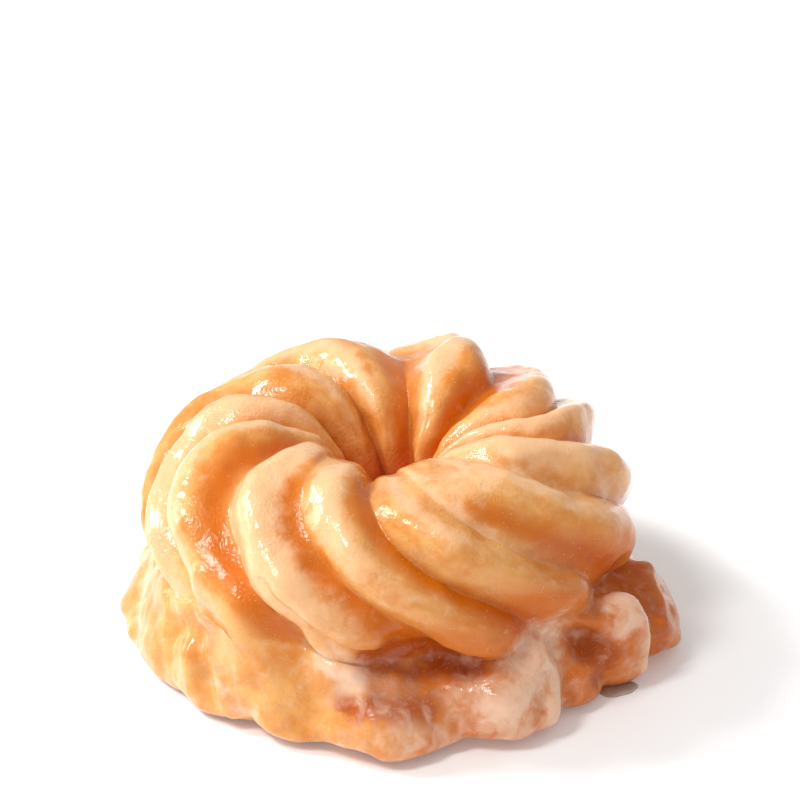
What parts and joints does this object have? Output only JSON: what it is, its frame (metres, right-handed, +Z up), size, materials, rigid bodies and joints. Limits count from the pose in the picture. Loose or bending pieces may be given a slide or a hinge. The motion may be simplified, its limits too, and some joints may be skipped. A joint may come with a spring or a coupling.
{
  "type": "honey cruller",
  "caption": "Ring of piped choux dough with swirled lobes round an open centre and a spreading foot, under a glossy sugar glaze. Rests flat as a pastry.",
  "frame": {"origin": "middle of the box round the cruller, at the table it rests on", "axes": "+Z up through the hole, -Y towards the side seen in the picture, +X to that view's right"},
  "size_m": [0.0902, 0.0862, 0.0402],
  "materials": {
    "glazed_dough": "glossy sugar glaze over browned choux dough"
  },
  "bodies": {
    "root": {"cruller": "glazed_dough"}
  },
  "joints": []
}
